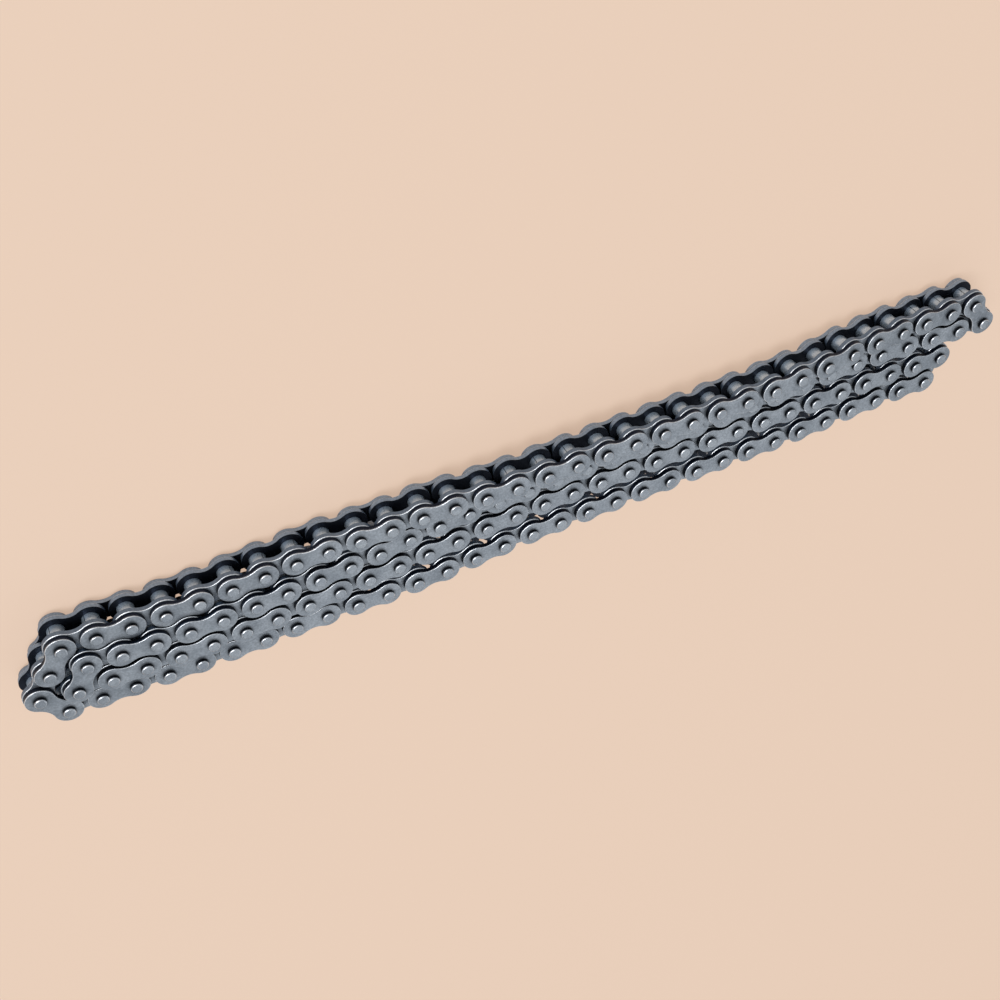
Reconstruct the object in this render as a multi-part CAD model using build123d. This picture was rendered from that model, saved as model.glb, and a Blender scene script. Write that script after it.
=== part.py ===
from build123d import *
import math
import os

# Bush timing chain, endless, 128 links, folded into four rows with its pins standing upright.
# Millimetres. X runs along the rows, row one is on the +Y side, Z is up from the surface.

# Chain sizes
pitch = 6.35
inner_width = 3.18
plate_thickness = 1.00
plate_side_gap = 0.10
plate_end_gap = 0.35
outer_plate_step = 0.25
inner_waist_drop = 0.90
outer_waist_drop = 0.80
plate_edge_round = 0.16
pin_diameter = 2.31
pin_bush_clearance = 0.08
bush_wall = 0.415
bush_seam_width = 0.12
bush_seam_run = 3
bush_seam_turn = 143
pin_stand_out = 0.81
pin_edge_round = 0.30

# Links in each body, in order round the loop from the left end of row three
body_link_counts = [
    ("row_three", 30),
    ("row_four_turn_link", 1),
    ("row_four_right", 10),
    ("row_four_middle", 10),
    ("row_four_left", 10),
    ("wrap_link_three", 1),
    ("wrap_link_two", 1),
    ("wrap_link_one", 1),
    ("row_one_left", 4),
    ("row_one_middle", 13),
    ("row_one_right", 14),
    ("row_one_turn_link", 1),
    ("row_two", 31),
    ("fold_link", 1),
]
wrap_start_heading = 234.7
open_pivot_body = "wrap_link_three"

# Sizes that follow
half_pitch = pitch / 2
pin_radius = pin_diameter / 2
bush_bore_radius = pin_radius + pin_bush_clearance
bush_radius = bush_bore_radius + bush_wall
inner_end_radius = (pitch - plate_end_gap) / 2
outer_end_radius = inner_end_radius - outer_plate_step
inner_face = inner_width / 2
outer_face = inner_face + plate_thickness + plate_side_gap
pin_half_length = outer_face + plate_thickness + pin_stand_out

# Rows nest with each row's round ends in the waists of the next, half a pitch along
row_clearance = 0.14
row_tuck = 0.60
step_clearance = 0.18
tuck_clearance = 0.20
end_lift = 0.76
level_gap = math.sqrt((2 * inner_end_radius) ** 2 - half_pitch ** 2) + row_clearance
step_gap = math.sqrt((inner_end_radius + outer_end_radius) ** 2 - half_pitch ** 2) + row_clearance
tucked_gap = level_gap - row_tuck
turn_gap = pitch * math.sin(math.radians(60))
small_step = plate_thickness + step_clearance
big_step = inner_width - tuck_clearance

# Stations along a row: pitches from the left end, then the width there
row_three_line = [
    (0.5, 0),
    (4.5, -0.145 * pitch),
    (8.8, -0.0945 * pitch),
    (16.5, 0.255 * pitch),
    (21.0, 0.255 * pitch),
    (27.0, 0.184 * pitch),
    (30.5, 0.1055 * pitch),
]
gap_two_three = [
    (1.0, turn_gap),
    (2.6, level_gap + 0.005 * pitch),
    (9.6, level_gap + 0.008 * pitch),
    (11.6, level_gap + 0.134 * pitch),
    (15.5, level_gap + 0.008 * pitch),
    (21.0, level_gap + 0.008 * pitch),
    (27.5, level_gap + 0.228 * pitch),
    (30.2, level_gap + 0.252 * pitch),
    (31.8, level_gap + 0.173 * pitch),
]
gap_one_two = [
    (0.8, step_gap + 0.019 * pitch),
    (4.6, step_gap + 0.022 * pitch),
    (6.2, level_gap + 0.0315 * pitch),
    (9.0, level_gap + 0.118 * pitch),
    (11.2, level_gap + 0.040 * pitch),
    (14.0, tucked_gap),
    (24.6, tucked_gap),
    (27.0, level_gap + 0.007 * pitch),
    (30.2, level_gap + 0.008 * pitch),
    (31.4, turn_gap),
]
gap_three_four = [
    (0.5, step_gap + 0.016 * pitch),
    (4.9, step_gap + 0.019 * pitch),
    (6.0, level_gap + 0.016 * pitch),
    (13.0, level_gap + 0.244 * pitch),
    (23.0, level_gap + 0.276 * pitch),
    (30.4, turn_gap),
]
row_one_lift = [(6.3, 0), (16.3, big_step), (23.0, big_step), (31.4, end_lift)]
row_two_lift = [(4.9, small_step), (11.4, 0), (27.0, 0), (31.4, end_lift)]
row_three_lift = [(4.9, small_step), (11.4, 0)]
row_four_lift = [(0, 0)]


def eased(stations, along):
    """Value at a place along a row: level at each station, with two arcs in between."""
    if along <= stations[0][0]:
        return stations[0][1]
    for (start, low), (end, high) in zip(stations, stations[1:]):
        if along < end:
            share = (along - start) / (end - start)
            rise = 2 * share ** 2 if share < 0.5 else 1 - 2 * (1 - share) ** 2
            return low + (high - low) * rise
    return stations[-1][1]


def row_place(row, x):
    """Y and Z of a row's pins where it passes X."""
    along = x / pitch
    y = eased(row_three_line, along)
    if row == "row_three":
        return y, eased(row_three_lift, along)
    if row == "row_four":
        return y - eased(gap_three_four, along), eased(row_four_lift, along)
    y += eased(gap_two_three, along)
    if row == "row_two":
        return y, eased(row_two_lift, along)
    return y + eased(gap_one_two, along), eased(row_one_lift, along)


def walk(start, row, steps, way):
    """Pins one pitch apart from a starting pin, the first of them one step onto the row."""
    pins = [start]
    for _ in range(steps):
        last = pins[-1]
        x = last.X + way * half_pitch
        for _ in range(40):
            y, z = row_place(row, x)
            reach = pitch ** 2 - (y - last.Y) ** 2 - (z - last.Z) ** 2
            x = last.X + way * math.sqrt(max(reach, 0))
        y, z = row_place(row, x)
        pins.append(Vector(x, y, z))
    return pins[1:]


def elbow(start, end):
    """Pin that joins two pins with one link each, on the right as seen going from start to end."""
    chord = end - start
    height = math.sqrt(pitch ** 2 - (chord.length / 2) ** 2)
    side = Vector(chord.Y, -chord.X, 0).normalized()
    return start + chord * 0.5 + side * height


def row_links(row):
    """Links in a whole row, without the single link that turns into the next row."""
    return sum(links for body, links in body_link_counts if body.startswith(row) and links > 1)


def loop_pins():
    """Centres of all the pins, in order round the loop."""
    first = Vector(half_pitch, *row_place("row_three", half_pitch))
    row_three = [first] + walk(first, "row_three", row_links("row_three"), 1)
    row_four = walk(row_three[-1], "row_four", row_links("row_four") + 1, -1)
    row_two = walk(first, "row_two", row_links("row_two") + 1, 1)
    row_one = walk(row_two[-1], "row_one", row_links("row_one") + 1, -1)
    heading = math.radians(wrap_start_heading)
    wrap_one = row_one[-1] + Vector(math.cos(heading), math.sin(heading), 0) * pitch
    wrap_two = elbow(wrap_one, row_four[-1])
    return row_three + row_four + [wrap_two, wrap_one] + row_one[::-1] + row_two[::-1]


def centred(pins):
    """Pins moved so that the origin is the bottom centre of the folded chain."""
    middle = [(min(values) + max(values)) / 2 for values in ([p.X for p in pins], [p.Y for p in pins])]
    return [p + Vector(-middle[0], -middle[1], pin_half_length) for p in pins]


def plate(end_radius, waist, hole_radius, bottom):
    """Stamped figure-eight plate over two pins, its outer face on the side away from the chain."""
    flank_radius = (half_pitch ** 2 + waist ** 2 - end_radius ** 2) / (2 * (end_radius - waist))
    flank_offset = waist + flank_radius
    share = end_radius / (end_radius + flank_radius)
    web = Rectangle(pitch - 2 * half_pitch * share, 2 * flank_offset * share)
    outline = Circle(end_radius) + Pos(pitch, 0) * Circle(end_radius) + Pos(half_pitch, 0) * web
    outline -= Pos(half_pitch, flank_offset) * Circle(flank_radius)
    outline -= Pos(half_pitch, -flank_offset) * Circle(flank_radius)
    blank = extrude(outline, plate_thickness)
    blank = fillet(blank.faces().sort_by(Axis.Z)[-1].outer_wire().edges(), plate_edge_round)
    for x in (0, pitch):
        blank -= Pos(x, 0, plate_thickness / 2) * Cylinder(hole_radius, 2 * plate_thickness)
    return Pos(0, 0, bottom) * blank


def plate_pair(end_radius, waist, hole_radius, bottom):
    upper = plate(end_radius, waist, hole_radius, bottom)
    return [upper, mirror(upper, Plane.XY)]


def pin():
    """Riveted pin, with rounded ends that stand out of the outer plates."""
    body = Cylinder(pin_radius, 2 * pin_half_length)
    return fillet(body.edges().filter_by(GeomType.CIRCLE), pin_edge_round)


def pin_ends():
    """The two ends of a pin, each held in its outer plate, with nothing between them."""
    cut = pin() - Cylinder(2 * pin_radius, 2 * outer_face)
    return cut.solids()


def bush(place):
    """Bush curled from strip, so it has one open seam, turned the same way for a run of bushes."""
    length = 2 * (inner_face + plate_thickness)
    body = Cylinder(bush_radius, length) - Cylinder(bush_bore_radius, 2 * length)
    seam = Pos(bush_radius, 0, 0) * Box(2 * (bush_wall + pin_bush_clearance), bush_seam_width, 2 * length)
    return Rot(0, 0, bush_seam_turn * (place // bush_seam_run)) * (body - seam)


def link_location(start, end):
    """Frame on a link's first pin: X along the link, Z along the pins."""
    along = (end - start).normalized()
    across = Vector(0, 0, 1).cross(along).normalized()
    return Location(Plane(origin=start, x_dir=along, z_dir=along.cross(across)))


outer_waist = outer_end_radius - outer_waist_drop
inner_waist = inner_end_radius - inner_waist_drop
outer_plates = plate_pair(outer_end_radius, outer_waist, pin_radius, outer_face)
inner_plates = plate_pair(inner_end_radius, inner_waist, bush_radius, inner_face)
whole_pin = pin()


def build_nodes(pins):
    """Solids of every node, keyed by node name."""
    nodes = {}
    number = 0
    for body, links in body_link_counts:
        single = links == 1
        for _ in range(links):
            start = pins[number]
            end = pins[(number + 1) % len(pins)]
            place = link_location(start, end)
            if number % 2:
                ends = [[whole_pin], [whole_pin]]
                if body == open_pivot_body:
                    ends[1] = pin_ends()
                plates = outer_plates
                plate_node = "plates" if single else "outer_plates"
                round_node = "pins"
            else:
                ends = [[bush(number)], [bush(number + 1)]]
                plates = inner_plates
                plate_node = "plates" if single else "inner_plates"
                round_node = "bushes"
            rounds = ends[0] + [Pos(pitch, 0, 0) * solid for solid in ends[1]]
            nodes.setdefault(f"{body}_{plate_node}", []).extend(place * solid for solid in plates)
            nodes.setdefault(f"{body}_{round_node}", []).extend(place * solid for solid in rounds)
            number += 1
    return nodes


pins = centred(loop_pins())
os.makedirs("parts", exist_ok=True)
for name, solids in build_nodes(pins).items():
    export_step(Compound(children=solids, label=name), f"parts/{name}.step")

link_number = 0
for body, links in body_link_counts:
    at = pins[link_number]
    print(f"pivot before {body}: {at.X:.4f} {at.Y:.4f} {at.Z:.4f}")
    link_number += links
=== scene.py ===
import bpy
from mathutils import Matrix, Vector


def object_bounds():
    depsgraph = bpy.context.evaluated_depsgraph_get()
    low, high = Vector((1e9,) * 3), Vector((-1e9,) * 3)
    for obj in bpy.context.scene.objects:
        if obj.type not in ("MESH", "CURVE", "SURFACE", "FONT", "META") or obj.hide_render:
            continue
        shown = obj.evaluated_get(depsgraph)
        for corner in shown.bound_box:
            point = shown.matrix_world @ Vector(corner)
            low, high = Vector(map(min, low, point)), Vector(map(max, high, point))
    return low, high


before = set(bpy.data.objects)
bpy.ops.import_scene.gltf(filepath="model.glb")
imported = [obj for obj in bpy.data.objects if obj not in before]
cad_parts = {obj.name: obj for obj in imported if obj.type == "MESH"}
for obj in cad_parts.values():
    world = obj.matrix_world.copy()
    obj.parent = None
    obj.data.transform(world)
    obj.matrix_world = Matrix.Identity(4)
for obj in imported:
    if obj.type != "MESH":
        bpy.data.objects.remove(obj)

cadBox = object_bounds()
chainLow, chainHigh = cadBox
chainMiddle = (chainLow + chainHigh) / 2
print("frame loaded,", len(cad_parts), "nodes")


# Camera: seen from the row one side, with the pin heads turned towards the picture's lower edge
cameraSettings = {
    "place": (-0.069782, 0.180601, 0.178816),
    "right": (0.91029, -0.08626, 0.40489),
    "up": (0.34124, 0.71006, -0.61593),
    "focalPixels": 1292.7,
    "picturePixels": 1000,
    "sensorWidth": 36.0,
    "clipStart": 0.01,
}


def addCamera(s):
    right = Vector(s["right"]).normalized()
    back = right.cross(Vector(s["up"])).normalized()
    up = back.cross(right)
    data = bpy.data.cameras.new("photoCamera")
    data.sensor_width = s["sensorWidth"]
    data.lens = s["focalPixels"] / s["picturePixels"] * s["sensorWidth"]
    data.clip_start = s["clipStart"]
    camera = bpy.data.objects.new("photoCamera", data)
    bpy.context.scene.collection.objects.link(camera)
    turn = Matrix((right, up, back)).transposed().to_4x4()
    camera.matrix_world = Matrix.Translation(Vector(s["place"])) @ turn
    bpy.context.scene.camera = camera
    print("camera set")


# Material nodes: each helper adds one and returns the socket that the next one reads
def newMaterial(name):
    material = bpy.data.materials.new(name)
    material.use_nodes = True
    tree = material.node_tree
    return material, tree, tree.nodes["Principled BSDF"]


def feed(tree, value, socket):
    if isinstance(value, bpy.types.NodeSocket):
        tree.links.new(value, socket)
    elif isinstance(value, tuple):
        socket.default_value = (*value, 1)  # a colour, opaque
    else:
        socket.default_value = value


def addNoise(tree, coords, scale, detail, stretch=(1, 1, 1)):
    mapping = tree.nodes.new("ShaderNodeMapping")
    mapping.inputs["Scale"].default_value = stretch
    noise = tree.nodes.new("ShaderNodeTexNoise")
    noise.inputs["Scale"].default_value = scale
    noise.inputs["Detail"].default_value = detail
    tree.links.new(coords, mapping.inputs["Vector"])
    tree.links.new(mapping.outputs["Vector"], noise.inputs["Vector"])
    return noise.outputs["Fac"]


def addRamp(tree, fac, positions, low, high):
    ramp = tree.nodes.new("ShaderNodeValToRGB")
    for element, position, colour in zip(ramp.color_ramp.elements, positions, (low, high)):
        element.position = position
        element.color = (*colour, 1)
    tree.links.new(fac, ramp.inputs["Fac"])
    return ramp.outputs["Color"]


def addRange(tree, value, low, high, outLow=0, outHigh=1):
    node = tree.nodes.new("ShaderNodeMapRange")
    node.inputs["From Min"].default_value = low
    node.inputs["From Max"].default_value = high
    node.inputs["To Min"].default_value = outLow
    node.inputs["To Max"].default_value = outHigh
    tree.links.new(value, node.inputs["Value"])
    return node.outputs["Result"]


def addMix(tree, fac, first, second, blend="MIX"):
    mix = tree.nodes.new("ShaderNodeMix")
    mix.data_type = "RGBA"
    mix.blend_type = blend
    feed(tree, fac, mix.inputs["Factor"])
    feed(tree, first, mix.inputs[6])  # colour A
    feed(tree, second, mix.inputs[7])  # colour B
    return mix.outputs[2]


def addMath(tree, operation, *values):
    node = tree.nodes.new("ShaderNodeMath")
    node.operation = operation
    for value, socket in zip(values, node.inputs):
        feed(tree, value, socket)
    return node.outputs["Value"]


def takeZ(tree, vector):
    split = tree.nodes.new("ShaderNodeSeparateXYZ")
    tree.links.new(vector, split.inputs["Vector"])
    return split.outputs["Z"]


def addBump(tree, height, strength, distance, normal=None):
    bump = tree.nodes.new("ShaderNodeBump")
    bump.inputs["Strength"].default_value = strength
    bump.inputs["Distance"].default_value = distance
    tree.links.new(height, bump.inputs["Height"])
    if normal is not None:
        tree.links.new(normal, bump.inputs["Normal"])
    return bump.outputs["Normal"]


# Steel that all pieces share. A facing is 0 on an upright wall and 1 on a level face
sharedSteel = {
    "upperPlates": 0.0060,  # in every row the upper plates lie above this height, the lower ones below
    "mottleDetail": 5,
    "mottleSpread": (0.32, 0.66),
    "grainDetail": 2,
    "grainSpread": (0.32, 0.68),
    "grainDepth": 0.00004,
    "scratchDetail": 3,
    "scratchDepth": 0.00003,
    "roughSpread": (0.3, 0.7),
    "wallFacing": (0.15, 0.45),
    "rimFacing": (0.80, 0.99),
    "wallHighlightFacing": (0.03, 0.22),
    "wallHighlightReach": 0.0004,
    "wallHighlightSamples": 4,
    "creviceShadeSamples": 8,
}
# In each steel below, the colours for walls, rims, inner faces and crevices are painted shade, painted
# light and painted highlights; mottle and speckle are the steel's own tone
outerPlateSteel = {
    **sharedSteel,
    "name": "outerPlateSteel",
    "light": (0.45, 0.485, 0.525),
    "dark": (0.29, 0.32, 0.355),
    "rimHighlight": (0.90, 0.93, 0.97),
    "upperWallShade": (0.009, 0.016, 0.036),
    "wallHighlight": (0.28, 0.36, 0.46),
    "lowerWallLit": (0.26, 0.355, 0.485),
    "insideShade": (0.024, 0.029, 0.042),
    "creviceShade": (0.012, 0.014, 0.020),
    "creviceShadeReach": 0.0016,
    "open": (0.45, 0.92),
    "speckle": 0.16,
    "roughness": (0.38, 0.52),
    "metallic": 0.88,
    "grain": 2400,
    "mottle": 210,
    "scratch": (900, 60, 900),
    "bump": 0.14,
}
innerPlateSteel = {
    **outerPlateSteel,
    "name": "innerPlateSteel",
    "light": (0.425, 0.46, 0.50),
    "dark": (0.285, 0.315, 0.35),
    "upperWallShade": (0.15, 0.215, 0.31),
    "wallHighlight": (0.15, 0.215, 0.31),
    "insideShade": (0.022, 0.026, 0.038),
    "creviceShadeReach": 0.0014,
    "open": (0.24, 0.66),
    "metallic": 0.85,
}
pinSteel = {
    **sharedSteel,
    "name": "pinSteel",
    "light": (0.46, 0.495, 0.53),
    "dark": (0.31, 0.34, 0.38),
    "rimHighlight": (0.82, 0.85, 0.89),
    "upperWallShade": (0.012, 0.014, 0.020),
    "wallHighlight": (0.012, 0.014, 0.020),
    "lowerWallLit": (0.10, 0.11, 0.13),
    "insideShade": (0.44, 0.475, 0.51),
    "creviceShade": (0.008, 0.010, 0.015),
    "creviceShadeReach": 0.0012,
    "open": (0.55, 0.92),
    "speckle": 0.14,
    "roughness": (0.30, 0.44),
    "metallic": 0.90,
    "grain": 3200,
    "mottle": 380,
    "scratch": (700, 700, 90),
    "bump": 0.12,
}
bushSteel = {
    **sharedSteel,
    "name": "bushSteel",
    "light": (0.56, 0.685, 0.815),
    "dark": (0.42, 0.52, 0.63),
    "rimHighlight": (0.56, 0.685, 0.815),
    "upperWallShade": (0.56, 0.685, 0.815),
    "wallHighlight": (0.56, 0.685, 0.815),
    "lowerWallLit": (0.56, 0.685, 0.815),
    "insideShade": (0.10, 0.11, 0.13),
    "creviceShade": (0.045, 0.058, 0.075),
    "creviceShadeReach": 0.0026,
    "open": (0.30, 0.60),
    "speckle": 0.12,
    "roughness": (0.24, 0.34),
    "metallic": 0.55,
    "grain": 3000,
    "mottle": 300,
    "scratch": (900, 900, 70),
    "bump": 0.10,
}


def makeSteel(s):
    material, tree, shader = newMaterial(s["name"])
    texture = tree.nodes.new("ShaderNodeTexCoord")
    coords = texture.outputs["Object"]
    mottle = addNoise(tree, coords, s["mottle"], s["mottleDetail"])
    grain = addNoise(tree, coords, s["grain"], s["grainDetail"])
    scratch = addNoise(tree, coords, 1, s["scratchDetail"], s["scratch"])
    faces = addRamp(tree, mottle, s["mottleSpread"], s["dark"], s["light"])

    # Which plate the metal is on, and how far it faces up or down
    normalZ = takeZ(tree, texture.outputs["Normal"])
    above = addMath(tree, "GREATER_THAN", takeZ(tree, coords), s["upperPlates"])
    facing = addMath(tree, "ABSOLUTE", normalZ)
    upward = addMath(tree, "GREATER_THAN", normalZ, 0)

    # Ambient occlusion for the painted shade in crevices
    crevice = tree.nodes.new("ShaderNodeAmbientOcclusion")
    crevice.inputs["Distance"].default_value = s["creviceShadeReach"]
    crevice.samples = s["creviceShadeSamples"]

    # Inner faces, turned towards the other plate, take the inside colour: a dark painted shade on
    # plates and bushes
    inward = addMath(tree, "ABSOLUTE", addMath(tree, "SUBTRACT", above, upward))
    faces = addMix(tree, inward, faces, s["insideShade"])

    # The walls of upper plates and pins take a dark painted shade
    # A painted highlight lightens the top of each upper wall, where the bevel normal turns upward
    edge = tree.nodes.new("ShaderNodeBevel")
    edge.samples = s["wallHighlightSamples"]
    edge.inputs["Radius"].default_value = s["wallHighlightReach"]
    wallHighlightMask = addRange(tree, takeZ(tree, edge.outputs["Normal"]), *s["wallHighlightFacing"])
    upperWallShadeAndHighlight = addMix(tree, wallHighlightMask, s["upperWallShade"], s["wallHighlight"])
    # The walls of lower plates take a lighter colour: painted light, a lit copy of the wall
    walls = addMix(tree, above, s["lowerWallLit"], upperWallShadeAndHighlight)
    # Rounded rims take a painted highlight
    rims = addMix(tree, addRange(tree, facing, *s["rimFacing"]), s["rimHighlight"], faces)
    colour = addMix(tree, addRange(tree, facing, *s["wallFacing"]), walls, rims)

    # Fine speckle, and a painted shade, driven by ambient occlusion, that darkens crevices where
    # plates, pins and bushes meet
    darker, lighter = (1 - s["speckle"],) * 3, (1 + s["speckle"],) * 3
    speckle = addRamp(tree, grain, s["grainSpread"], darker, lighter)
    colour = addMix(tree, 1, colour, speckle, "MULTIPLY")
    unshaded = addRange(tree, crevice.outputs["AO"], *s["open"])
    colour = addMix(tree, unshaded, s["creviceShade"], colour)
    rough = addRange(tree, mottle, *s["roughSpread"], *s["roughness"])
    fine = addBump(tree, grain, s["bump"], s["grainDepth"])
    scored = addBump(tree, scratch, s["bump"], s["scratchDepth"], fine)
    tree.links.new(colour, shader.inputs["Base Color"])
    tree.links.new(rough, shader.inputs["Roughness"])
    tree.links.new(scored, shader.inputs["Normal"])
    shader.inputs["Metallic"].default_value = s["metallic"]
    return material


def paintNodes():
    outer, inner = makeSteel(outerPlateSteel), makeSteel(innerPlateSteel)
    pins, bushes = makeSteel(pinSteel), makeSteel(bushSteel)
    for name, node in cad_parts.items():
        if name.endswith("pins"):
            material = pins
        elif name.endswith("bushes"):
            material = bushes
        elif name.endswith("inner_plates") or name.replace("plates", "bushes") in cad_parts:
            material = inner  # a single link that has bushes is an inner one
        else:
            material = outer
        node.data.materials.clear()
        node.data.materials.append(material)
    print("steel on", len(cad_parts), "nodes")


# Floor: "seen" is what the camera and the steel see of the paper, mixed in by its share
floorSettings = {
    "size": 6.0,
    "colour": (0.83, 0.69, 0.57),
    "roughness": 0.9,
    "seen": (0.852, 0.617, 0.468),
    "seenShare": 0.65,
}


def addFloor(s):
    bpy.ops.object.select_all(action="DESELECT")
    bpy.ops.mesh.primitive_plane_add(size=s["size"], location=(chainMiddle.x, chainMiddle.y, 0))
    floor = bpy.context.object
    floor.name = "studioFloor"
    bpy.ops.object.transform_apply(location=True, rotation=True, scale=True)
    material, tree, shader = newMaterial("floorPaper")
    shader.inputs["Base Color"].default_value = (*s["colour"], 1)
    shader.inputs["Roughness"].default_value = s["roughness"]

    # The camera and the steel see an even, pale paper, on which the shadow is light
    path = tree.nodes.new("ShaderNodeLightPath")
    seen = addMath(tree, "ADD", path.outputs["Is Camera Ray"], path.outputs["Is Glossy Ray"])
    seen = addMath(tree, "ADD", seen, path.outputs["Is Transmission Ray"])
    paper = tree.nodes.new("ShaderNodeEmission")
    paper.inputs["Color"].default_value = (*s["seen"], 1)
    both = tree.nodes.new("ShaderNodeMixShader")
    tree.links.new(addMath(tree, "MULTIPLY", seen, s["seenShare"]), both.inputs["Fac"])
    tree.links.new(shader.outputs["BSDF"], both.inputs[1])
    tree.links.new(paper.outputs["Emission"], both.inputs[2])
    tree.links.new(both.outputs["Shader"], tree.nodes["Material Output"].inputs["Surface"])
    floor.data.materials.append(material)
    print("floor laid")


# Light: a large key lamp, a weak panel that the level faces reflect, and an even world
lampSettings = {
    "key": {
        "place": (-1.05, 0.80, 2.00),
        "size": (1.40, 1.40),
        "power": 40.0,
        "colour": (0.98, 0.985, 1),
    },
    "panel": {
        "place": (0.19, -0.56, 0.54),
        "size": (0.80, 0.60),
        "power": 0.75,
        "colour": (0.97, 0.98, 1),
    },
}
worldSettings = {
    "colour": (0.90, 0.95, 1.0),
    "strength": 0.36,
}


def addLamp(name, s):
    data = bpy.data.lights.new(name, "AREA")
    data.shape = "RECTANGLE"
    data.size, data.size_y = s["size"]
    data.energy = s["power"]
    data.color = s["colour"]
    lamp = bpy.data.objects.new(name, data)
    bpy.context.scene.collection.objects.link(lamp)
    place = Vector(s["place"])
    lamp.location = place
    lamp.rotation_euler = (chainMiddle - place).to_track_quat("-Z", "Y").to_euler()


def lightWorld(s):
    world = bpy.data.worlds.new("studio")
    bpy.context.scene.world = world
    world.use_nodes = True
    background = world.node_tree.nodes["Background"]
    background.inputs["Color"].default_value = (*s["colour"], 1)
    background.inputs["Strength"].default_value = s["strength"]


addCamera(cameraSettings)
paintNodes()
addFloor(floorSettings)
for lampName, lampValues in lampSettings.items():
    addLamp(lampName, lampValues)
lightWorld(worldSettings)
bpy.context.scene.view_settings.view_transform = "Standard"
print("lamps and world set")
